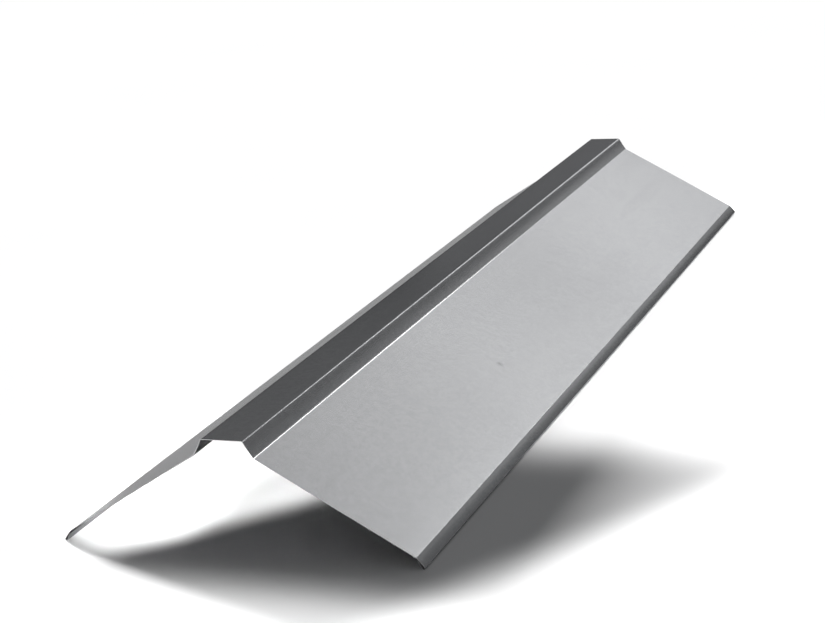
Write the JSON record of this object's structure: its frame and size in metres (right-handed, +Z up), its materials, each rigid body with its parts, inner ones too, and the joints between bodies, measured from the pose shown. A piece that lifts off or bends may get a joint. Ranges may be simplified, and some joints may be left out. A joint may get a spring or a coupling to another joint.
{
  "type": "roof ridge cap",
  "caption": "Bent galvanised sheet-steel roof ridge cap with a raised flat top between steep steps, wide sloping flanges and hemmed drip lips.",
  "frame": {"origin": "on the floor under the middle of the cap, standing on its two hemmed lips", "axes": "+Y along the ridge, +X across it, +Z up"},
  "size_m": [0.3154, 1, 0.0951],
  "materials": {
    "galvanised_steel": "satin zinc coating with a fine, faint spangle"
  },
  "bodies": {
    "root": {"ridge_cap": "galvanised_steel"}
  },
  "joints": []
}
